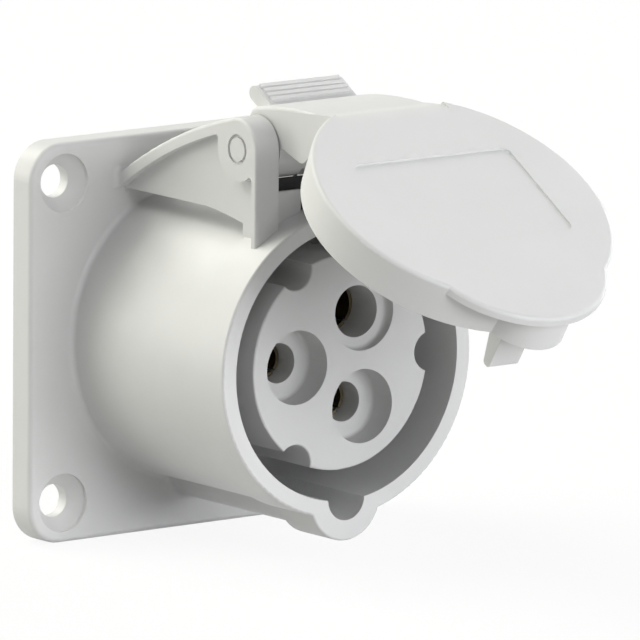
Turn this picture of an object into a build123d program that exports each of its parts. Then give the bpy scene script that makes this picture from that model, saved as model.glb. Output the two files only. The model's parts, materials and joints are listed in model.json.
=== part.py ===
from build123d import *
import math
import os

# Millimetres. Origin: centre of the flange's back face. The socket faces -Y, +Z is up.
# A distance "ahead" is measured from the flange's back face towards the front.

# Flange
flange_size = 65.0
flange_thickness = 4.8
flange_corner_radius = 6.0
flange_edge_fillet = 0.9
flange_hole_inset = 6.5
flange_hole_radius = 2.7
flange_seat_radius = 4.75
flange_seat_step = 0.7

# Barrel, its front ring and the keyway below them
bore_radius = 22.1
barrel_wall = 2.15
barrel_radius = bore_radius + barrel_wall
barrel_root_fillet = 0.9
ring_front = 45.5
ring_length = 8.9
ring_wall = 2.7
ring_radius = bore_radius + ring_wall
ring_edge_fillet = 0.4
keyway_radius = 3.6
keyway_inset = 0.4
keyway_drop = bore_radius - keyway_inset
key_rib_radius = 5.8
key_bump_radius = 6.9

# Partition that carries the contact carrier, and the seat behind it
partition_ahead = 7.0
partition_thickness = 4.0
seat_wall = 1.65
seat_radius = barrel_radius - seat_wall

# Ears and hinge
hinge_ahead = 36.6
hinge_rise = 9.95
hinge_height = ring_radius + hinge_rise
ear_inner = 11.1
ear_outer = 15.5
ear_boss_radius = 5.15
ear_root_web = 2.4
ear_arch_ahead = 18.9
ear_arch_drop = 0.55
ear_root_fillet = 0.9
ear_recess_depth = 1.6
ear_border = 2.0
ear_column = 1.3
ear_slot_inset = 0.05
ear_slot_drop = 1.5
ear_slot_bend = 26.4
ear_slot_end = 36.1
ear_slot_bulge = 0.15
ear_edge_fillet = 0.6
ear_recess_fillet = 0.6

# Gussets inside the ears and the rubber bar behind them
gusset_back = 39.5
gusset_thickness = 0.7
gusset_width = 5.6
gusset_rise = 3.1
gusset_top = ring_radius + gusset_rise
gusset_corner = 4.2
buffer_inset = 0.2
buffer_thickness = 2.4
buffer_side_clearance = 0.05
buffer_hinge_clearance = 0.35
buffer_groove_centre = 5.1
buffer_groove_width = 1.8
buffer_groove_depth = 1.45

# Hinge pin
pin_radius = 1.9
pin_press_clearance = 0.02
pin_running_clearance = 0.06
pin_ring_width = 0.55
pin_ring_depth = 0.4

# Contact carrier
carrier_front = 43.8
carrier_radius = 17.4
carrier_clearance = 0.3
carrier_edge_fillet = 0.3
carrier_flange_clearance = 0.3
carrier_flange_radius = seat_radius - carrier_flange_clearance
carrier_flange_thickness = 3.0
carrier_rear_length = 12.0
channel_radius = 3.15
channel_offset = 18.05
channel_angles = (0, 120, 240)
carrier_screw_inset = 2.6
carrier_screw_circle = seat_radius - carrier_screw_inset
carrier_rear_gap = 2.8
carrier_rear_radius = carrier_screw_circle - carrier_rear_gap
carrier_screw_angles = (30, 150, 270)

# Contacts: name, angle seen from the front, pin radius, recess depth and radius, mouth radius
contact_circle = 8.7
contact_table = {
    "earth": {"angle": 60, "pin": 3.5, "recess": 6.1, "depth": 1.8, "mouth": 4.2, "mouth_end": 36.0},
    "line": {"angle": 180, "pin": 2.5, "recess": 6.0, "depth": 5.0, "mouth": 3.25, "mouth_end": 35.2},
    "neutral": {"angle": 300, "pin": 2.5, "recess": 6.0, "depth": 5.0, "mouth": 3.25, "mouth_end": 35.2},
}
recess_floor_fillet = 0.6
pin_clearance = 0.05
sleeve_wall = 0.55
sleeve_mouth_gap = 0.4
sleeve_seat_length = 1.0
sleeve_depth = 16.0
sleeve_slot_width = 0.7
sleeve_slot_length = 11.0
chamber_step_ahead = 12.0
chamber_clearance = 0.3
ring_band = 0.5
ring_band_length = 1.8
ring_band_gap = 0.05
ring_band_inset = 1.6
ring_split = 0.8
block_extra = 1.3
wire_hole_radius = 2.1
wire_hole_depth = 14.0

# Terminal screws and their pressure plates
terminal_behind = 5.0
terminal_shank_radius = 1.65
terminal_thread_clearance = 0.05
terminal_head_radius = 2.3
terminal_head_height = 1.8
terminal_head_lift = 1.2
terminal_slot_width = 0.6
terminal_slot_depth = 0.9
terminal_tip_height = 1.3
terminal_access_clearance = 0.4
plate_thickness = 0.5
plate_width = 2.6
plate_length = 6.0

# Contact retainer and small screws
retainer_thickness = 2.5
retainer_wire_radius = 2.6
retainer_wire_chamfer = 0.8
retainer_screw_radius = 1.45
retainer_screw_grip = 5.5
retainer_screw_tip_gap = 0.5
retainer_head_radius = 2.7
small_screw_radius = 1.2
small_screw_length = 5.5
small_screw_tip_gap = 0.5
small_screw_head_radius = 2.0
small_screw_head_height = 1.4
small_slot_width = 0.5
small_slot_depth = 0.6
small_thread_clearance = 0.05

# Flange gasket
gasket_inner = 25.1
gasket_outer = 27.9
gasket_depth = 1.5
gasket_clearance = 0.1

# Lid, measured from the hinge: "out" towards the free edge, "rise" away from the socket
lid_angle = 58.5
lid_face_rise = 16.8
lid_rim_rise = 9.6
lid_radius = 25.2
lid_taper = 5.5
lid_edge_fillet = 0.6
lid_top_thickness = 2.2
lid_pocket_depth = 1.7
lip_offset = 12.7
lip_radius = 17.1
lip_thickness = 1.6
lid_bump_radius = 7.2
panel_width = 31.0
panel_height = 20.5
panel_corner = 1.5
panel_depth = 0.35
hook_width = 5.7
hook_past_key = 0.55
hook_tip_thickness = 1.6
hook_root_thickness = 2.9
hook_tip_rise = 0.5
hook_taper_rise = 5.5
hook_fillet = 0.7

# Lid hub: arms, knuckle and finger tab
hub_half_width = 10.8
arm_thickness = 2.5
knuckle_radius = 5.1
spring_bay_half = 5.4
spring_bay_radius = 3.5
hub_plate_thickness = 2.2
hub_solid_out = 3.2
hub_solid_rise = 8.2
hub_edge_fillet = 0.6
hub_shoulder_inset = -0.15
hub_shoulder_rise = 14.1
hub_crest_inset = 3.65
arm_heel_inset = 1.85
arm_heel_clearance = 0.2
arm_foot_inset = 0.85
arm_foot_rise = 5.6
arm_bend_inset = 0.35
arm_bend_rise = 4.7
arm_toe_inset = -0.75
arm_toe_rise = 4.2
arm_neck_rise = 3.4
hub_flat_length = 2.5
hub_crest_radius = 5.0
hub_nape_reach = 1.4
hub_nape_rise = 2.1
hub_brow_reach = 2.8
hub_brow_rise = 5.1
tab_length = 9.3
tab_top_rise = 5.3
tab_thickness = 2.4
tab_end_fillet = 1.15
tab_half_width = 8.6
tab_ridge_count = 4
tab_ridge_pitch = 1.1
tab_ridge_width = 0.72
tab_ridge_height = 0.45
tab_ridge_half = 7.9
tab_ridge_first = 4.8

# Lid gasket
seal_inner = 21.7
seal_outer = 23.2
seal_proud = 0.6
seal_lobe_inner = 4.1
seal_lobe_outer = 5.6
seal_clearance = 0.1

# Lid spring
spring_coil_radius = 2.5
spring_wire_radius = 0.35
spring_full_turns = 4
spring_half_length = 4.2
spring_slot_width = 1.7
spring_slot_top = -1.0
spring_tab_leg = 7.2
spring_foot_gap = 0.45


def facing(ahead):
    """Plane that faces the front; its y is up and a positive extrusion goes forward."""
    return Plane(origin=(0, -ahead, 0), x_dir=(1, 0, 0), z_dir=(0, -1, 0))


def backing(ahead):
    """Plane that faces the back; a positive extrusion goes backward and its x is mirrored."""
    return Plane(origin=(0, -ahead, 0), x_dir=(-1, 0, 0), z_dir=(0, 1, 0))


def flank(x):
    """Plane across the socket at x; its x is the distance ahead, its y is up, it extrudes to -X."""
    return Plane(origin=(x, 0, 0), x_dir=(0, -1, 0), z_dir=(-1, 0, 0))


sine = math.sin(math.radians(lid_angle))
cosine = math.cos(math.radians(lid_angle))
hinge = Vector(0, -hinge_ahead, hinge_height)
lid_out = Vector(0, -sine, -cosine)
lid_normal = Vector(0, -cosine, sine)


def lid_plane(rise, out=0.0):
    """Plane along the lid; its y runs back to the hinge and it extrudes away from the socket."""
    return Plane(origin=hinge + lid_normal * rise + lid_out * out, x_dir=(1, 0, 0), z_dir=lid_normal)


def lid_flank(x):
    """Plane across the lid at x; its x is "out", its y is "rise", it extrudes to -X."""
    return Plane(origin=hinge + Vector(x, 0, 0), x_dir=lid_out, z_dir=(-1, 0, 0))


def on_circle(radius, angle):
    """Point on a circle about the barrel's axis, as x and height."""
    return (radius * math.cos(math.radians(angle)), radius * math.sin(math.radians(angle)))


def contact_radii(spec):
    """Sleeve bore, sleeve outside, ring outside, chamber, block and rear chamber radii."""
    bore = spec["pin"] + pin_clearance
    sleeve = bore + sleeve_wall
    ring = sleeve + ring_band_gap + ring_band
    block = sleeve + block_extra
    return {
        "bore": bore,
        "sleeve": sleeve,
        "ring": ring,
        "chamber": ring + chamber_clearance,
        "block": block,
        "rear": block + chamber_clearance,
    }


os.makedirs("parts", exist_ok=True)
rear_end = carrier_rear_length
lid_centre = hinge_height
disc_edge = lid_centre - lid_radius
flange_hole_spacing = flange_size - 2 * flange_hole_inset
keyway = (0, -keyway_drop)
hinge_spot = (hinge_ahead, hinge_height)
ring_back = ring_front - ring_length
partition_front = partition_ahead + partition_thickness
ear_front = hinge_ahead + ear_boss_radius
ear_foot = barrel_radius - ear_outer
ear_slot_height = barrel_radius - ear_slot_inset
ear_root_height = ear_slot_height + ear_root_web
ear_arch_height = hinge_height - ear_arch_drop
ear_thickness = ear_outer - ear_inner


def boss_point(angle):
    """Point on the rim of the ear's boss, on a flank plane."""
    spot = math.radians(angle)
    return (hinge_ahead + ear_boss_radius * math.cos(spot), hinge_height + ear_boss_radius * math.sin(spot))


boss_top = boss_point(110)
arch = ThreePointArc((flange_thickness, ear_root_height), (ear_arch_ahead, ear_arch_height), boss_top)

# Ears: two arched webs with a border, a boss round the hinge and a slot above the barrel
with BuildPart() as ears:
    for outer_face in (ear_outer, -ear_inner):
        with BuildSketch(flank(outer_face)):
            with BuildLine():
                add(arch)
                ThreePointArc(boss_top, boss_point(45), boss_point(0))
                Polyline(
                    boss_point(0),
                    (ear_front, ear_foot),
                    (ear_slot_end, ear_foot),
                    (ear_slot_end, ear_slot_height - ear_slot_drop),
                )
                ThreePointArc(
                    (ear_slot_end, ear_slot_height - ear_slot_drop),
                    ((ear_slot_end + ear_slot_bend) / 2, ear_slot_height - ear_slot_drop / 2 + ear_slot_bulge),
                    (ear_slot_bend, ear_slot_height),
                )
                Polyline(
                    (ear_slot_bend, ear_slot_height),
                    (flange_thickness, ear_slot_height),
                    (flange_thickness, ear_root_height),
                )
            make_face()
        extrude(amount=ear_thickness)
    for side in (1, -1):
        outline = ears.faces().filter_by_position(Axis.X, side * ear_outer, side * ear_outer).edges()
        fillet(outline.filter_by(lambda edge: edge.center().Z > ear_slot_height or edge.center().Y < -ear_slot_end)
               .filter_by(lambda edge: edge.center().Y < -flange_thickness and edge.length > 2 * ear_border),
               ear_edge_fillet)
    for recess_floor in (ear_outer, ear_recess_depth - ear_outer):
        with BuildSketch(flank(recess_floor)) as recess:
            with Locations(arch.arc_center):
                Circle(arch.radius - ear_border)
            with Locations((flange_thickness, ear_foot)):
                Rectangle(
                    ear_front - ear_column - flange_thickness,
                    hinge_height + ear_boss_radius / 2 - ear_foot,
                    align=(Align.MIN, Align.MIN),
                    mode=Mode.INTERSECT,
                )
            with Locations(hinge_spot):
                Circle(ear_boss_radius, mode=Mode.SUBTRACT)
            corners = recess.vertices().filter_by(
                lambda corner: math.dist((corner.X, corner.Y), hinge_spot) < ear_boss_radius + ear_border / 2
            )
            fillet(corners, ear_recess_fillet)
        extrude(amount=ear_recess_depth, mode=Mode.SUBTRACT)

# Housing: flange, barrel with its key rib, front ring with the key bump, and the ears
with BuildPart() as housing:
    with BuildSketch(facing(0)):
        RectangleRounded(flange_size, flange_size, flange_corner_radius)
    extrude(amount=flange_thickness)
    fillet(housing.faces().sort_by(Axis.Y)[0].outer_wire().edges(), flange_edge_fillet)

    with BuildSketch(facing(0)):
        Circle(barrel_radius)
        with Locations(keyway):
            Circle(key_rib_radius)
    extrude(amount=ring_back)
    on_flange = housing.edges().filter_by_position(Axis.Y, -flange_thickness, -flange_thickness)
    root_limit = barrel_radius + key_rib_radius
    fillet(on_flange.filter_by(lambda edge: math.hypot(edge.center().X, edge.center().Z) < root_limit),
           barrel_root_fillet)

    with BuildSketch(facing(ring_back)):
        Circle(ring_radius)
        with Locations(keyway):
            Circle(key_bump_radius)
    extrude(amount=ring_length)
    fillet(housing.faces().sort_by(Axis.Y)[0].outer_wire().edges(), ring_edge_fillet)
    add(ears.part)
    on_flange = housing.edges().filter_by_position(Axis.Y, -flange_thickness, -flange_thickness)
    fillet(on_flange.filter_by(lambda edge: ear_slot_height <= edge.center().Z <= ear_root_height + ear_edge_fillet
                               and ear_inner <= abs(edge.center().X) <= ear_outer),
           ear_root_fillet)

    with BuildSketch(facing(gusset_back)) as gussets:
        for side in (1, -1):
            with Locations((side * (ear_inner - gusset_width / 2), gusset_top / 2)):
                Rectangle(gusset_width, gusset_top)
        fillet([corner for corner in gussets.vertices() if corner.Z > gusset_top / 2
                and abs(corner.X) < ear_inner - gusset_width / 2], gusset_corner)
    extrude(amount=gusset_thickness)

    with BuildSketch(facing(partition_front)):
        Circle(bore_radius)
        with Locations(keyway):
            Circle(keyway_radius)
    extrude(amount=ring_front - partition_front, mode=Mode.SUBTRACT)
    with BuildSketch(facing(partition_ahead)):
        Circle(carrier_radius + carrier_clearance)
    extrude(amount=partition_thickness, mode=Mode.SUBTRACT)
    with BuildSketch(facing(0)):
        Circle(seat_radius)
    extrude(amount=partition_ahead, mode=Mode.SUBTRACT)
    with BuildSketch(facing(0)):
        Circle(gasket_outer + gasket_clearance)
        Circle(gasket_inner - gasket_clearance, mode=Mode.SUBTRACT)
    extrude(amount=gasket_depth, mode=Mode.SUBTRACT)

    with BuildSketch(facing(partition_ahead)):
        with Locations(*[on_circle(carrier_screw_circle, angle) for angle in carrier_screw_angles]):
            Circle(small_screw_radius + small_thread_clearance)
    extrude(amount=small_screw_length + small_screw_tip_gap - carrier_flange_thickness, mode=Mode.SUBTRACT)
    with Locations(facing(flange_thickness)):
        with GridLocations(flange_hole_spacing, flange_hole_spacing, 2, 2):
            CounterBoreHole(flange_hole_radius, flange_seat_radius, flange_seat_step)
    with Locations(facing(flange_thickness - flange_seat_step)):
        with GridLocations(flange_hole_spacing, flange_hole_spacing, 2, 2):
            CounterSinkHole(flange_hole_radius, flange_seat_radius, counter_sink_angle=90)

    with BuildSketch(flank(ear_outer)):
        with Locations(hinge_spot):
            Circle(pin_radius + pin_press_clearance)
    extrude(amount=2 * ear_outer, mode=Mode.SUBTRACT)
    for groove_face in (ear_outer, pin_ring_depth - ear_outer):
        with BuildSketch(flank(groove_face)):
            with Locations(hinge_spot):
                Circle(pin_radius + pin_ring_width)
        extrude(amount=pin_ring_depth, mode=Mode.SUBTRACT)
housing.part.label = "housing"
export_step(housing.part, "parts/housing.step")

# Flange gasket in the groove behind the flange
with BuildPart() as flange_gasket:
    with BuildSketch(facing(0)):
        Circle(gasket_outer)
        Circle(gasket_inner, mode=Mode.SUBTRACT)
    extrude(amount=gasket_depth)
flange_gasket.part.label = "flange_gasket"
export_step(flange_gasket.part, "parts/flange_gasket.step")

# Rubber bar between the ears, seated on the front ring under the knuckles
buffer_half = ear_inner - buffer_side_clearance
with BuildPart() as hinge_buffer:
    with BuildSketch(flank(buffer_half)):
        with Locations((ring_back + buffer_inset, 0)):
            Rectangle(buffer_thickness, hinge_height, align=(Align.MIN, Align.MIN))
        with Locations(hinge_spot):
            Circle(knuckle_radius + buffer_hinge_clearance, mode=Mode.SUBTRACT)
    extrude(amount=2 * buffer_half)
    with BuildSketch(facing(0)):
        Circle(ring_radius)
    extrude(amount=ring_front, mode=Mode.SUBTRACT)
    with BuildSketch(facing(ring_back)):
        with Locations((-buffer_groove_centre, 0)):
            Rectangle(buffer_groove_width, hinge_height, align=(Align.CENTER, Align.MIN))
    extrude(amount=buffer_inset + buffer_groove_depth, mode=Mode.SUBTRACT)
hinge_buffer.part.label = "hinge_buffer"
export_step(hinge_buffer.part, "parts/hinge_buffer.step")

# Contact carrier: body with channels and a rear flange
carrier_flange_ahead = partition_ahead - carrier_flange_thickness
with BuildPart() as carrier:
    with BuildSketch(facing(partition_ahead)):
        Circle(carrier_radius)
        with Locations(*[on_circle(channel_offset, angle) for angle in channel_angles]):
            Circle(channel_radius, mode=Mode.SUBTRACT)
    extrude(amount=carrier_front - partition_ahead)
    fillet(carrier.faces().sort_by(Axis.Y)[0].outer_wire().edges(), carrier_edge_fillet)
    with BuildSketch(facing(carrier_flange_ahead)):
        Circle(carrier_flange_radius)
    extrude(amount=carrier_flange_thickness)

    for spec in contact_table.values():
        radii = contact_radii(spec)
        spot = on_circle(contact_circle, spec["angle"])
        floor = carrier_front - spec["depth"]
        mouth_back = spec["mouth_end"] - sleeve_mouth_gap - sleeve_seat_length
        steps = (
            (floor, carrier_front, spec["recess"]),
            (mouth_back, floor, spec["mouth"]),
            (chamber_step_ahead, mouth_back, radii["chamber"]),
            (carrier_flange_ahead, chamber_step_ahead, radii["rear"]),
        )
        for low, high, radius in steps:
            with BuildSketch(facing(low)):
                with Locations(spot):
                    Circle(radius)
            extrude(amount=high - low, mode=Mode.SUBTRACT)
        floor_rim = carrier.edges().filter_by(GeomType.CIRCLE).filter_by_position(Axis.Y, -floor, -floor)
        fillet(floor_rim.filter_by(lambda edge: abs(edge.radius - spec["recess"]) < 0.01), recess_floor_fillet)

    with BuildSketch(facing(carrier_flange_ahead)):
        with Locations(*[on_circle(carrier_screw_circle, angle) for angle in carrier_screw_angles]):
            Circle(small_screw_radius + carrier_clearance)
    extrude(amount=carrier_flange_thickness, mode=Mode.SUBTRACT)
    with BuildSketch(facing(carrier_flange_ahead)):
        Circle(retainer_screw_radius + small_thread_clearance)
    extrude(amount=retainer_screw_grip, mode=Mode.SUBTRACT)
carrier.part.label = "contact_carrier"
export_step(carrier.part, "parts/contact_carrier.step")

# Terminal block behind the carrier, with a way to each terminal screw
with BuildPart() as terminal_block:
    with BuildSketch(facing(-rear_end)):
        Circle(carrier_rear_radius)
        Circle(retainer_screw_radius + carrier_clearance, mode=Mode.SUBTRACT)
        for spec in contact_table.values():
            with Locations(on_circle(contact_circle, spec["angle"])):
                Circle(contact_radii(spec)["rear"], mode=Mode.SUBTRACT)
    extrude(amount=rear_end + carrier_flange_ahead)
    fillet(terminal_block.faces().sort_by(Axis.Y)[-1].outer_wire().edges(), carrier_edge_fillet)
    for spec in contact_table.values():
        spot = on_circle(contact_circle, spec["angle"])
        access = Plane(origin=(0, terminal_behind, 0), z_dir=(spot[0], 0, spot[1]))
        with BuildSketch(access.offset(contact_circle)):
            Circle(terminal_head_radius + terminal_access_clearance)
        extrude(amount=carrier_rear_radius, mode=Mode.SUBTRACT)
terminal_block.part.label = "terminal_block"
export_step(terminal_block.part, "parts/terminal_block.step")


def contact(spec):
    """Slotted sleeve with a solid terminal block behind it."""
    radii = contact_radii(spec)
    spot = on_circle(contact_circle, spec["angle"])
    mouth = spec["mouth_end"] - sleeve_mouth_gap
    with BuildPart() as made:
        with BuildSketch(facing(chamber_step_ahead)):
            with Locations(spot):
                Circle(radii["sleeve"])
        extrude(amount=mouth - chamber_step_ahead)
        with BuildSketch(facing(-rear_end)):
            with Locations(spot):
                Circle(radii["block"])
        extrude(amount=rear_end + chamber_step_ahead)
        with BuildSketch(facing(mouth - sleeve_depth)):
            with Locations(spot):
                Circle(radii["bore"])
        extrude(amount=sleeve_depth, mode=Mode.SUBTRACT)
        with BuildSketch(facing(mouth - sleeve_slot_length)):
            with Locations(spot):
                Rectangle(2 * radii["ring"], sleeve_slot_width, rotation=45)
                Rectangle(2 * radii["ring"], sleeve_slot_width, rotation=135)
        extrude(amount=sleeve_slot_length, mode=Mode.SUBTRACT)
        with BuildSketch(facing(-rear_end)):
            with Locations(spot):
                Circle(wire_hole_radius)
        extrude(amount=wire_hole_depth, mode=Mode.SUBTRACT)
        outward = Plane(origin=(0, terminal_behind, 0), z_dir=(spot[0], 0, spot[1]))
        with BuildSketch(outward.offset(contact_circle)):
            Circle(terminal_shank_radius + terminal_thread_clearance)
        extrude(amount=2 * radii["block"], mode=Mode.SUBTRACT)
    return made.part


def spring_ring(spec):
    """Split band round the sleeve, just behind its mouth."""
    radii = contact_radii(spec)
    spot = on_circle(contact_circle, spec["angle"])
    front = spec["mouth_end"] - sleeve_mouth_gap - ring_band_inset
    with BuildPart() as made:
        with BuildSketch(facing(front - ring_band_length)):
            with Locations(spot):
                Circle(radii["ring"])
                Circle(radii["sleeve"] + ring_band_gap, mode=Mode.SUBTRACT)
            with Locations((spot[0] + radii["ring"], spot[1])):
                Rectangle(radii["ring"], ring_split, mode=Mode.SUBTRACT)
        extrude(amount=ring_band_length)
    return made.part


def terminal_screw(spec):
    """Cheese-head screw that stands radially over its block."""
    radii = contact_radii(spec)
    spot = on_circle(contact_circle, spec["angle"])
    head_at = contact_circle + radii["block"] + terminal_head_lift
    outward = Plane(origin=(0, terminal_behind, 0), z_dir=(spot[0], 0, spot[1]))
    with BuildPart() as made:
        with BuildSketch(outward.offset(contact_circle + terminal_tip_height)):
            Circle(terminal_shank_radius)
        extrude(amount=head_at - contact_circle - terminal_tip_height)
        with BuildSketch(outward.offset(head_at)):
            Circle(terminal_head_radius)
        extrude(amount=terminal_head_height)
        with BuildSketch(outward.offset(head_at + terminal_head_height)):
            Rectangle(2 * terminal_head_radius, terminal_slot_width)
        extrude(amount=-terminal_slot_depth, mode=Mode.SUBTRACT)
    return made.part


def pressure_plate(spec):
    """Flat plate that the terminal screw pushes onto the wire."""
    spot = on_circle(contact_circle, spec["angle"])
    across = Vector(-spot[1], 0, spot[0])
    outward = Plane(origin=(0, terminal_behind, 0), x_dir=across, z_dir=(spot[0], 0, spot[1]))
    with BuildPart() as made:
        with BuildSketch(outward.offset(contact_circle + terminal_tip_height)):
            Rectangle(plate_width, plate_length)
        extrude(amount=-plate_thickness)
    return made.part


for name, spec in contact_table.items():
    pieces = {
        "contact_" + name: contact(spec),
        "spring_ring_" + name: spring_ring(spec),
        "terminal_screw_" + name: terminal_screw(spec),
        "pressure_plate_" + name: pressure_plate(spec),
    }
    for label, piece in pieces.items():
        piece.label = label
        export_step(piece, "parts/" + label + ".step")

# Screws that hold the carrier's flange to the partition
with BuildPart() as carrier_screws:
    spots = [on_circle(carrier_screw_circle, angle) for angle in carrier_screw_angles]
    with BuildSketch(facing(carrier_flange_ahead - small_screw_head_height)):
        with Locations(*spots):
            Circle(small_screw_head_radius)
    extrude(amount=small_screw_head_height)
    with BuildSketch(facing(carrier_flange_ahead)):
        with Locations(*spots):
            Circle(small_screw_radius)
    extrude(amount=small_screw_length)
    with BuildSketch(facing(carrier_flange_ahead - small_screw_head_height)):
        with Locations(*spots):
            Rectangle(2 * small_screw_head_radius, small_slot_width)
    extrude(amount=small_slot_depth, mode=Mode.SUBTRACT)
carrier_screws.part.label = "carrier_screws"
export_step(carrier_screws.part, "parts/carrier_screws.step")

# Contact retainer behind the blocks, with the wire entries
retainer_back = -rear_end - retainer_thickness
with BuildPart() as retainer:
    with BuildSketch(facing(retainer_back)):
        Circle(carrier_rear_radius)
        with Locations(*[on_circle(contact_circle, spec["angle"]) for spec in contact_table.values()]):
            Circle(retainer_wire_radius, mode=Mode.SUBTRACT)
    extrude(amount=retainer_thickness)
    back_rims = retainer.edges().filter_by(GeomType.CIRCLE).filter_by_position(Axis.Y, -retainer_back, -retainer_back)
    chamfer(back_rims.filter_by(lambda edge: edge.radius < 2 * retainer_wire_radius), retainer_wire_chamfer)
    with Locations(backing(retainer_back)):
        CounterSinkHole(retainer_screw_radius + carrier_clearance, retainer_head_radius, counter_sink_angle=90)
retainer.part.label = "contact_retainer"
export_step(retainer.part, "parts/contact_retainer.step")

with BuildPart() as retainer_screw:
    head_height = retainer_head_radius - retainer_screw_radius - carrier_clearance
    with BuildSketch(facing(retainer_back)):
        Circle(retainer_screw_radius)
    extrude(amount=carrier_flange_ahead - retainer_back + retainer_screw_grip - retainer_screw_tip_gap)
    with BuildSketch(facing(retainer_back)):
        Circle(retainer_head_radius - carrier_clearance)
    extrude(amount=head_height, taper=45)
    with BuildSketch(facing(retainer_back)):
        Rectangle(2 * retainer_head_radius, small_slot_width)
    extrude(amount=small_slot_depth, mode=Mode.SUBTRACT)
retainer_screw.part.label = "retainer_screw"
export_step(retainer_screw.part, "parts/retainer_screw.step")

# Hinge pin
with BuildPart() as hinge_pin:
    with BuildSketch(flank(ear_outer)):
        with Locations(hinge_spot):
            Circle(pin_radius)
    extrude(amount=2 * ear_outer)
hinge_pin.part.label = "hinge_pin"
export_step(hinge_pin.part, "parts/hinge_pin.step")

# Lid hub: arms, knuckles round the pin, spring bay and ridged finger tab
lid_axis = Axis(origin=hinge, direction=lid_normal)
lid_ceiling = lid_face_rise - lid_top_thickness
arm_inner = hub_half_width - arm_thickness
tab_under_rise = tab_top_rise - tab_thickness
hub_back = (-4.7, 4.4)
hub_shoulder = (disc_edge + hub_shoulder_inset, hub_shoulder_rise)
hub_nape = (-hub_nape_reach, knuckle_radius + hub_nape_rise)
hub_brow = (hub_brow_reach, knuckle_radius + hub_brow_rise)
hub_crest = (disc_edge + hub_crest_inset, lid_face_rise)
hub_flat = (hub_crest[0] + hub_flat_length, lid_face_rise)
arm_heel = (disc_edge + arm_heel_inset, ring_front - hinge_ahead + arm_heel_clearance)
arm_foot = (disc_edge + arm_foot_inset, arm_foot_rise)
arm_bend = (disc_edge + arm_bend_inset, arm_bend_rise)
arm_toe = (disc_edge + arm_toe_inset, arm_toe_rise)


def out_of(edge):
    """Distance of an edge's middle from the hinge, along the lid."""
    return (edge.center() - hinge).dot(lid_out)


def rise_of(edge):
    """Height of an edge's middle over the hinge, across the lid."""
    return (edge.center() - hinge).dot(lid_normal)


with BuildPart() as hub:
    with BuildSketch(lid_flank(hub_half_width)):
        with BuildLine():
            Spline(hub_back, hub_nape, hub_brow, hub_shoulder)
            FilletPolyline(hub_shoulder, hub_crest, hub_flat, radius=hub_crest_radius)
            Polyline(hub_flat, (hub_flat[0], lid_rim_rise), arm_heel, arm_foot)
            ThreePointArc(arm_foot, arm_bend, arm_toe)
            Polyline(arm_toe, (knuckle_radius, arm_neck_rise), (0, 0), (-knuckle_radius, 0), hub_back)
        make_face()
        Circle(knuckle_radius)
    extrude(amount=2 * hub_half_width)
    flanks = hub.faces().sort_by(Axis.X)
    rims = flanks[0].edges() + flanks[-1].edges()
    fillet(rims.filter_by(lambda edge: out_of(edge) < hub_shoulder[0] and rise_of(edge) > knuckle_radius),
           hub_edge_fillet)
    with BuildSketch(lid_flank(arm_inner)):
        with BuildLine():
            Polyline(
                (hub_solid_out, knuckle_radius),
                (hub_solid_out, hub_solid_rise),
                (hub_shoulder[0], hub_shoulder[1] - hub_plate_thickness),
                (hub_crest[0], lid_ceiling),
                (hub_crest[0], 0),
                (knuckle_radius, 0),
                (knuckle_radius, knuckle_radius),
                (hub_solid_out, knuckle_radius),
            )
        make_face()
    extrude(amount=2 * arm_inner, mode=Mode.SUBTRACT)

    with BuildSketch(lid_plane(tab_under_rise)):
        with Locations((0, tab_length / 2)):
            Rectangle(2 * tab_half_width, tab_length)
    extrude(amount=tab_thickness)
    fillet(hub.edges().filter_by(Axis.X).sort_by(lambda edge: out_of(edge))[:2], tab_end_fillet)
    with BuildSketch(lid_plane(tab_top_rise)):
        for ridge in range(tab_ridge_count):
            with Locations((0, tab_ridge_first + ridge * tab_ridge_pitch)):
                Rectangle(2 * tab_ridge_half, tab_ridge_width)
    extrude(amount=tab_ridge_height)

    with BuildSketch(lid_flank(spring_bay_half)):
        Circle(spring_bay_radius)
        with Locations((0, tab_under_rise)):
            Rectangle(2 * knuckle_radius, 2 * knuckle_radius, align=(Align.MAX, Align.MAX))
    extrude(amount=2 * spring_bay_half, mode=Mode.SUBTRACT)
    with BuildSketch(lid_flank(spring_slot_width - spring_bay_half)):
        with Locations((0, spring_slot_top)):
            Rectangle(2 * knuckle_radius, 2 * knuckle_radius, align=(Align.MIN, Align.MAX))
    extrude(amount=spring_slot_width, mode=Mode.SUBTRACT)
    with BuildSketch(lid_flank(hub_half_width)):
        Circle(pin_radius + pin_running_clearance)
    extrude(amount=2 * hub_half_width, mode=Mode.SUBTRACT)

# Lid disc with its grip lip and key lobe, notched for the hub
over_face = lid_face_rise + lip_thickness
disc_spot = (0, -lid_centre)
lobe_spot = (0, -lid_centre - keyway_drop)
with BuildPart() as lip:
    with BuildSketch(lid_plane(lid_face_rise - lip_thickness)):
        with Locations((0, -lid_centre - lip_offset)):
            Circle(lip_radius)
    extrude(amount=lip_thickness)
    fillet(lip.faces().sort_by(lid_axis)[-1].edges(), lid_edge_fillet)

with BuildPart() as disc:
    with BuildSketch(lid_plane(lid_face_rise)):
        with Locations(disc_spot):
            Circle(lid_radius)
    extrude(amount=lid_rim_rise - lid_face_rise, taper=lid_taper)
    fillet(disc.faces().sort_by(lid_axis)[-1].edges(), lid_edge_fillet)
    add(lip.part)
    with BuildSketch(lid_plane(lid_rim_rise)):
        with Locations(lobe_spot):
            Circle(lid_bump_radius)
    extrude(amount=lid_ceiling - lid_rim_rise)
    with BuildSketch(lid_flank(hub_half_width)):
        with BuildLine():
            FilletPolyline(hub_shoulder, hub_crest, hub_flat, radius=hub_crest_radius)
            Polyline(hub_flat, (hub_flat[0], over_face), (hub_back[0], over_face), hub_back, hub_shoulder)
        make_face()
    extrude(amount=2 * hub_half_width, mode=Mode.SUBTRACT)

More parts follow.
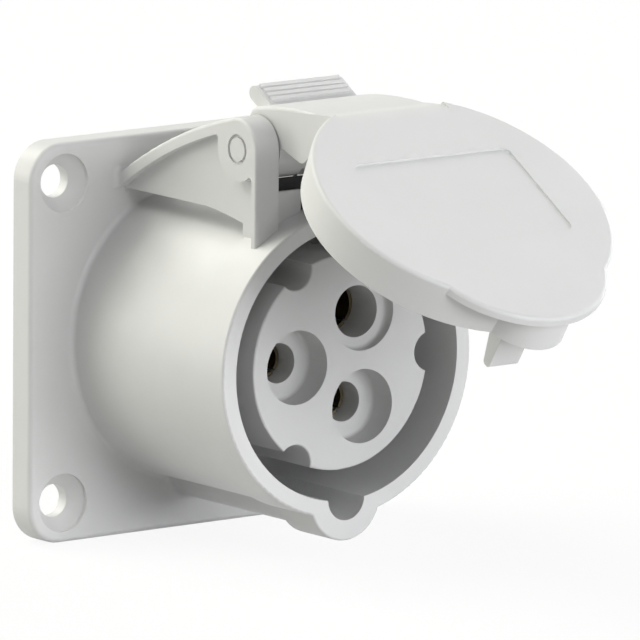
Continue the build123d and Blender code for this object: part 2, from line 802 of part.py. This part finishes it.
# Retaining hook inside the lid, in line with the keyway
hook_outer = lid_centre + keyway_drop + hook_past_key
with BuildPart() as hook:
    with BuildSketch(lid_flank(hook_width / 2)):
        with BuildLine():
            Polyline(
                (hook_outer, hook_tip_rise),
                (hook_outer - hook_tip_thickness, hook_tip_rise),
                (hook_outer - hook_root_thickness, hook_taper_rise),
                (hook_outer - hook_root_thickness, lid_ceiling),
                (hook_outer, lid_ceiling),
                (hook_outer, hook_tip_rise),
            )
        make_face()
    extrude(amount=hook_width)
    fillet(hook.edges().filter_by(Axis.X).sort_by(lid_axis)[:2], hook_fillet)

# Lid: hub and disc joined, with the cavity, the gasket seat, the shallow panel and the hook
seal_seat_rise = lid_rim_rise + lid_pocket_depth
with BuildPart() as lid:
    add(hub.part)
    add(disc.part)
    with BuildSketch(lid_plane(lid_rim_rise - lid_pocket_depth)):
        with Locations(disc_spot):
            Circle(seal_outer + seal_clearance)
        with Locations(lobe_spot):
            Circle(seal_lobe_outer + seal_clearance)
    extrude(amount=seal_seat_rise - lid_rim_rise + lid_pocket_depth, mode=Mode.SUBTRACT)
    with BuildSketch(lid_plane(seal_seat_rise)):
        with Locations(disc_spot):
            Circle(seal_inner - seal_clearance)
        with Locations(lobe_spot):
            Circle(seal_lobe_inner - seal_clearance)
    extrude(amount=lid_ceiling - seal_seat_rise, mode=Mode.SUBTRACT)
    with BuildSketch(lid_plane(lid_face_rise)):
        with Locations(disc_spot):
            RectangleRounded(panel_width, panel_height, panel_corner)
    extrude(amount=-panel_depth, mode=Mode.SUBTRACT)
    add(hook.part)
lid.part.label = "lid"
export_step(lid.part, "parts/lid.step")

# Gasket in the lid, with a lobe round the key
with BuildPart() as lid_gasket:
    with BuildSketch(lid_plane(lid_rim_rise - seal_proud)):
        with Locations(disc_spot):
            Circle(seal_outer)
        with Locations(lobe_spot):
            Circle(seal_lobe_outer)
        with Locations(disc_spot):
            Circle(seal_inner, mode=Mode.SUBTRACT)
        with Locations(lobe_spot):
            Circle(seal_lobe_inner, mode=Mode.SUBTRACT)
    extrude(amount=seal_seat_rise - lid_rim_rise + seal_proud)
lid_gasket.part.label = "lid_gasket"
export_step(lid_gasket.part, "parts/lid_gasket.step")

# Spring round the pin: one leg under the tab, the other down to the back of the front ring
foot_ahead = ring_back - spring_foot_gap - hinge_ahead
foot_height = barrel_radius + spring_wire_radius - hinge_height
foot_angle = math.degrees(
    math.atan2(foot_height, foot_ahead) + math.acos(spring_coil_radius / math.hypot(foot_height, foot_ahead))
)
coil_turns = spring_full_turns + (lid_angle - foot_angle) / 360
coil_plane = Plane(origin=hinge + Vector(spring_half_length, 0, 0), x_dir=lid_normal, z_dir=(-1, 0, 0))
coil = coil_plane * Helix(
    2 * spring_half_length / coil_turns, 2 * spring_half_length, spring_coil_radius, lefthand=True
)
foot_leg = math.sqrt(foot_height**2 + foot_ahead**2 - spring_coil_radius**2)
wire_start = coil @ 0 - (coil % 0) * spring_tab_leg
with BuildPart() as lid_spring:
    with BuildLine() as wire:
        add(coil)
        Line(wire_start, coil @ 0)
        Line(coil @ 1, coil @ 1 + (coil % 1) * foot_leg)
    with BuildSketch(Plane(origin=wire_start, z_dir=coil % 0)):
        Circle(spring_wire_radius)
    sweep(path=wire.wire())
lid_spring.part.label = "lid_spring"
export_step(lid_spring.part, "parts/lid_spring.step")
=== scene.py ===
import json
import math

import bpy
from mathutils import Matrix, Vector


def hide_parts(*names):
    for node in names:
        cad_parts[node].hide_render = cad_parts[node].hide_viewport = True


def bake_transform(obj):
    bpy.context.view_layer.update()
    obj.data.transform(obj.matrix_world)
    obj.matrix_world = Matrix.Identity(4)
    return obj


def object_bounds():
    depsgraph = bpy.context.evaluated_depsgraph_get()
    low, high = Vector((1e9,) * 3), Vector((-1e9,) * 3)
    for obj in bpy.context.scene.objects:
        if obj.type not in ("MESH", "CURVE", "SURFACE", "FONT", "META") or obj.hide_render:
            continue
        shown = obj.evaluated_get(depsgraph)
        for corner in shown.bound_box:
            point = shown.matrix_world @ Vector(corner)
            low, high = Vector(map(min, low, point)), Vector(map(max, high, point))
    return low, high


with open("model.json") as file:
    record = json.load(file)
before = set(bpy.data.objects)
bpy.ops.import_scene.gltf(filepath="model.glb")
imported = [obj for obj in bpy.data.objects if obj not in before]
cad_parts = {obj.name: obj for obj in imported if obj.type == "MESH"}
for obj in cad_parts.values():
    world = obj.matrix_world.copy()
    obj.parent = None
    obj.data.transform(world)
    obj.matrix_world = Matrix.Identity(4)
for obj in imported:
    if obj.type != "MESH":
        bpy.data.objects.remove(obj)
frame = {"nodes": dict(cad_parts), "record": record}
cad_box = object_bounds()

# Finish of each material slot: light and dark colour, mean roughness, and a metal's turning axis
PLASTICS = {
    "housing_plastic": ((0.705, 0.705, 0.703), (0.672, 0.672, 0.67), 0.46),
    "lid_plastic": ((0.712, 0.712, 0.71), (0.685, 0.685, 0.683), 0.48),
    "carrier_plastic": ((0.613, 0.613, 0.612), (0.579, 0.579, 0.578), 0.5),
    "pin_plastic": ((0.70, 0.70, 0.698), (0.665, 0.665, 0.663), 0.42),
}
RUBBERS = {
    "gasket_rubber": ((0.36, 0.365, 0.365), (0.29, 0.295, 0.295)),
    "buffer_rubber": ((0.035, 0.035, 0.036), (0.02, 0.02, 0.021)),
}
METALS = {
    # The contact colour is painted shade: it is set far darker than brass, so the contacts read as
    # the dark inside of the holes.
    "contact_brass": ((0.27, 0.232, 0.15), (0.16, 0.135, 0.08), 0.4, "y"),
    "spring_steel": ((0.62, 0.62, 0.63), (0.5, 0.5, 0.51), 0.3, "x"),
    "screw_steel": ((0.68, 0.68, 0.68), (0.56, 0.57, 0.58), 0.34, "y"),
}

# A noise stays mostly between these two values
NOISE_LOW = 0.3
NOISE_HIGH = 0.7

# Shares of the slow cloud and of the fine speck in the colour of plastic
CLOUD_SHARE = 0.65
SPECK_SHARE = 0.35

# How far the roughness strays below and above its mean, and the range of a rubber's
PLASTIC_SHEEN = (-0.05, 0.06)
METAL_SHEEN = (-0.07, 0.08)
RUBBER_ROUGHNESS = (0.62, 0.78)

# Scale of the tool marks along a metal's turning axis, and across it
TOOL_RINGS = 9000.0
TOOL_SWEEP = 260.0

# The floor shows almost white, but throws light back as a darker one would
FLOOR_REACH = 15.0
FLOOR_SHOWN_WHITE = 0.9
FLOOR_AS_SEEN = (0.95, 0.95, 0.95)
FLOOR_AS_LIGHT = (0.55, 0.55, 0.55)

# Strength of the world where it is seen, and of the faint light that it gives
WHITE = 1.0
AMBIENT = 0.02

# Lamps of the studio: name, azimuth, elevation, height in metres, watts and colour.
# Azimuth 0 is in front of the socket and positive is to the right
COOL = (0.975, 0.983, 1.0)
WARM = (1.0, 1.0, 0.915)
LAMPS = (
    ("front", 0, 15, 0.6, 5.95, COOL),
    ("front_right", 20, 15, 0.6, 1.8, COOL),
    ("front_left_high", -30, 45, 0.6, 2.0, COOL),
    ("right", 75, 15, 0.6, 1.5, COOL),
    ("right_rear", 105, 15, 0.6, 4.6, COOL),
    ("right_rear_high", 110, 45, 0.6, 1.4, COOL),
    ("left_rear", -135, 15, 0.6, 3.3, WARM),
    ("left_rear_low", -145, 7, 0.34, 1.9, WARM),
    ("left_rear_high", -120, 45, 0.6, 3.6, WARM),
    ("rear_high", -160, 45, 0.6, 8.5, WARM),
    ("low", 15, 1, 0.1, 2.6, COOL),
)
LAMP_DISTANCE = 1.2
LAMP_WIDTH = 0.6
LAMP_AIM = Vector((0.0, -0.03, 0.0))

# Camera fitted to the photograph: angles in degrees, places in metres, lens in millimetres
CAMERA_AZIMUTH = 37.428
CAMERA_ELEVATION = 10.03
CAMERA_ROLL = 0.436
CAMERA_DISTANCE = 2.27
CAMERA_TARGET = Vector((0.0, -0.025, 0.0))
# How far the target lies to the right of the picture's centre, and above it
TARGET_RIGHT = -0.008104
TARGET_ABOVE = -0.004034
CAMERA_LENS = 798.06
SENSOR_WIDTH = 36.0
CLIP_START = 0.1
CLIP_END = 50.0


def new_object(name, data):
    """Object with the given data, in the scene."""
    thing = bpy.data.objects.new(name, data)
    bpy.context.scene.collection.objects.link(thing)
    return thing


# Nodes of the materials
def new_material(name):
    """Material with a Principled shader; gives the material, its node tree and the shader."""
    material = bpy.data.materials.new(name)
    material.use_nodes = True
    tree = material.node_tree
    shader = tree.nodes["Principled BSDF"]
    return material, tree, shader


def object_place(tree):
    """Place on the object, in metres."""
    node = tree.nodes.new("ShaderNodeTexCoord")
    return node.outputs["Object"]


def noise(tree, place, scale, detail=2.0, roughness=0.5):
    """Noise over the given places."""
    node = tree.nodes.new("ShaderNodeTexNoise")
    node.inputs["Scale"].default_value = scale
    node.inputs["Detail"].default_value = detail
    node.inputs["Roughness"].default_value = roughness
    tree.links.new(place, node.inputs["Vector"])
    return node.outputs["Fac"]


def spread(tree, value, low, high):
    """Spreads a noise over the range from low to high."""
    node = tree.nodes.new("ShaderNodeMapRange")
    node.inputs["From Min"].default_value = NOISE_LOW
    node.inputs["From Max"].default_value = NOISE_HIGH
    node.inputs["To Min"].default_value = low
    node.inputs["To Max"].default_value = high
    tree.links.new(value, node.inputs["Value"])
    return node.outputs["Result"]


def worked_out(tree, operation, *values):
    """Result of a Math node whose inputs are outputs of other nodes or plain numbers."""
    node = tree.nodes.new("ShaderNodeMath")
    node.operation = operation
    for socket, value in zip(node.inputs, values):
        if isinstance(value, float):
            socket.default_value = value
        else:
            tree.links.new(value, socket)
    return node.outputs["Value"]


def mixed(tree, factor, first, second):
    """Colour between two colours."""
    node = tree.nodes.new("ShaderNodeMix")
    node.data_type = "RGBA"
    node.inputs["A"].default_value = (*first, 1.0)
    node.inputs["B"].default_value = (*second, 1.0)
    tree.links.new(factor, node.inputs["Factor"])
    return node.outputs["Result"]


def mixed_shader(tree, factor, first, second):
    """Shader between two shaders."""
    node = tree.nodes.new("ShaderNodeMixShader")
    for value, socket in zip((factor, first, second), node.inputs):
        tree.links.new(value, socket)
    return node.outputs["Shader"]


def bump(tree, height, strength, distance, normal=None):
    """Bump from a height, over an earlier bump if one is given."""
    node = tree.nodes.new("ShaderNodeBump")
    node.inputs["Strength"].default_value = strength
    node.inputs["Distance"].default_value = distance
    tree.links.new(height, node.inputs["Height"])
    if normal is not None:
        tree.links.new(normal, node.inputs["Normal"])
    return node.outputs["Normal"]


def seen_rays(tree):
    """One for camera, glossy and transmission rays, and nought for those that only carry light."""
    rays = tree.nodes.new("ShaderNodeLightPath").outputs
    seen = worked_out(tree, "MAXIMUM", rays["Is Camera Ray"], rays["Is Glossy Ray"])
    return worked_out(tree, "MAXIMUM", seen, rays["Is Transmission Ray"])


# Materials
def moulded_plastic(name, light, dark, rough):
    """Moulded plastic: fine eroded grain, slow flow marks, and a slightly uneven sheen."""
    material, tree, shader = new_material(name)
    place = object_place(tree)

    speck = noise(tree, place, scale=900.0, roughness=0.6)
    cloud = noise(tree, place, scale=55.0, detail=3.0, roughness=0.55)
    cloud_part = spread(tree, cloud, 0.0, CLOUD_SHARE)
    tone = worked_out(tree, "MULTIPLY_ADD", speck, SPECK_SHARE, cloud_part)
    tree.links.new(mixed(tree, tone, dark, light), shader.inputs["Base Color"])

    low, high = (rough + step for step in PLASTIC_SHEEN)
    sheen = noise(tree, place, scale=240.0, detail=3.0, roughness=0.6)
    tree.links.new(spread(tree, sheen, low, high), shader.inputs["Roughness"])

    flow = noise(tree, place, scale=70.0, roughness=0.4)
    grain = noise(tree, place, scale=2600.0, detail=3.0, roughness=0.65)
    flow_marks = bump(tree, flow, strength=0.25, distance=0.00008)
    surface = bump(tree, grain, strength=0.16, distance=0.00003, normal=flow_marks)
    tree.links.new(surface, shader.inputs["Normal"])
    shader.inputs["IOR"].default_value = 1.5
    shader.inputs["Specular IOR Level"].default_value = 0.42
    return material


def soft_rubber(name, light, dark):
    """Gasket rubber: mottled, with a dry bloom and a coarse matte grain."""
    material, tree, shader = new_material(name)
    place = object_place(tree)
    mottle = noise(tree, place, scale=420.0, detail=4.0, roughness=0.6)
    bloom = noise(tree, place, scale=130.0)
    grain = noise(tree, place, scale=3400.0, detail=3.0, roughness=0.6)
    colour = mixed(tree, spread(tree, mottle, 0.0, 1.0), dark, light)
    tree.links.new(colour, shader.inputs["Base Color"])
    tree.links.new(spread(tree, bloom, *RUBBER_ROUGHNESS), shader.inputs["Roughness"])
    surface = bump(tree, grain, strength=0.35, distance=0.00004)
    tree.links.new(surface, shader.inputs["Normal"])
    shader.inputs["Specular IOR Level"].default_value = 0.3
    return material


def turned_metal(name, light, dark, rough, axis):
    """Machined metal: fine tool rings along one axis, with a little tarnish."""
    material, tree, shader = new_material(name)
    place = object_place(tree)

    stretch = tree.nodes.new("ShaderNodeMapping")
    scales = [TOOL_RINGS if way == axis else TOOL_SWEEP for way in "xyz"]
    stretch.inputs["Scale"].default_value = scales
    tree.links.new(place, stretch.inputs["Vector"])
    rings = noise(tree, stretch.outputs["Vector"], scale=1.0)

    tarnish = noise(tree, place, scale=330.0, detail=4.0, roughness=0.6)
    colour = mixed(tree, spread(tree, tarnish, 0.0, 1.0), dark, light)
    tree.links.new(colour, shader.inputs["Base Color"])
    low, high = (rough + step for step in METAL_SHEEN)
    tree.links.new(spread(tree, rings, low, high), shader.inputs["Roughness"])
    surface = bump(tree, rings, strength=0.25, distance=0.00003)
    tree.links.new(surface, shader.inputs["Normal"])
    shader.inputs["Metallic"].default_value = 1.0
    return material


def dress_nodes():
    """Gives each CAD node the material of its slot."""
    materials = {}
    for make, finishes in (
            (moulded_plastic, PLASTICS), (soft_rubber, RUBBERS), (turned_metal, METALS)):
        for slot_name, values in finishes.items():
            materials[slot_name] = make(f"{slot_name}_look", *values)
    slot_of = {part["node"]: part["material_slot"] for part in frame["record"]["subparts"]}
    for node, thing in frame["nodes"].items():
        look = materials[slot_of[node]]
        if not thing.data.materials:
            thing.data.materials.append(look)
        for slot in thing.material_slots:
            slot.material = look


# The one piece that stands for a CAD node
def make_spring():
    """Torsion spring that winds up between the housing's leg and the lid's leg."""
    node = frame["nodes"]["lid_spring"]
    mesh = node.data.copy()
    mesh.transform(node.matrix_world)
    coil = new_object("wound_spring", mesh)
    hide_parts("lid_spring")
    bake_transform(coil)


# Studio
def make_floor(level):
    """Wide floor that keeps the object's shadow."""
    mesh = bpy.data.meshes.new("floor")
    outline = ((-1, -1), (1, -1), (1, 1), (-1, 1))
    corners = [(x * FLOOR_REACH, y * FLOOR_REACH, level) for x, y in outline]
    mesh.from_pydata(corners, [], [(0, 1, 2, 3)])
    floor = new_object("floor", mesh)

    material, tree, shader = new_material("floor_look")
    colour = mixed(tree, seen_rays(tree), FLOOR_AS_LIGHT, FLOOR_AS_SEEN)
    tree.links.new(colour, shader.inputs["Base Color"])
    shader.inputs["Roughness"].default_value = 0.9
    shader.inputs["Specular IOR Level"].default_value = 0.1
    glow = tree.nodes.new("ShaderNodeEmission")
    glow.inputs["Strength"].default_value = WHITE
    shown = worked_out(tree, "MULTIPLY", seen_rays(tree), FLOOR_SHOWN_WHITE)
    surface = mixed_shader(tree, shown, shader.outputs["BSDF"], glow.outputs["Emission"])
    tree.links.new(surface, tree.nodes["Material Output"].inputs["Surface"])
    mesh.materials.append(material)


def make_world():
    """World that is white where it is seen, and gives only a faint light."""
    world = bpy.data.worlds.new("studio")
    bpy.context.scene.world = world
    world.use_nodes = True
    tree = world.node_tree
    ambient = tree.nodes["Background"]
    shown = tree.nodes.new("ShaderNodeBackground")
    for node, strength in ((ambient, AMBIENT), (shown, WHITE)):
        node.inputs["Color"].default_value = (1.0, 1.0, 1.0, 1.0)
        node.inputs["Strength"].default_value = strength
    surface = mixed_shader(
        tree, seen_rays(tree), ambient.outputs["Background"], shown.outputs["Background"])
    tree.links.new(surface, tree.nodes["World Output"].inputs["Surface"])


def make_lamp(name, azimuth, elevation, height, watts, colour):
    """Soft rectangular lamp, turned towards the socket."""
    a = math.radians(azimuth)
    e = math.radians(elevation)
    outward = Vector((math.sin(a) * math.cos(e), -math.cos(a) * math.cos(e), math.sin(e)))
    data = bpy.data.lights.new(name, "AREA")
    data.shape = "RECTANGLE"
    data.size = LAMP_WIDTH
    data.size_y = height
    data.energy = watts
    data.color = colour
    lamp = new_object(name, data)
    lamp.location = LAMP_AIM + outward * LAMP_DISTANCE
    lamp.visible_camera = False
    lamp.rotation_mode = "QUATERNION"
    lamp.rotation_quaternion = (-outward).to_track_quat("-Z", "Y")


def make_camera():
    """Camera at the photograph's viewing angle, with no shift."""
    a = math.radians(CAMERA_AZIMUTH)
    e = math.radians(CAMERA_ELEVATION)
    r = math.radians(CAMERA_ROLL)
    back = Vector((-math.sin(a) * math.cos(e), -math.cos(a) * math.cos(e), math.sin(e)))
    right = Vector((math.cos(a), -math.sin(a), 0.0))
    up = back.cross(right)
    across = right * math.cos(r) + up * math.sin(r)
    upward = up * math.cos(r) - right * math.sin(r)
    centre = CAMERA_TARGET - across * TARGET_RIGHT - upward * TARGET_ABOVE
    turn = Matrix((across, upward, back)).transposed().to_4x4()

    data = bpy.data.cameras.new("camera")
    data.lens = CAMERA_LENS
    data.sensor_width = SENSOR_WIDTH
    data.clip_start = CLIP_START
    data.clip_end = CLIP_END
    camera = new_object("camera", data)
    camera.matrix_world = Matrix.Translation(centre + back * CAMERA_DISTANCE) @ turn
    bpy.context.scene.camera = camera


dress_nodes()
make_spring()
make_floor(cad_box[0].z)
make_world()
for lamp in LAMPS:
    make_lamp(*lamp)
make_camera()
bpy.context.scene.view_settings.view_transform = "Standard"
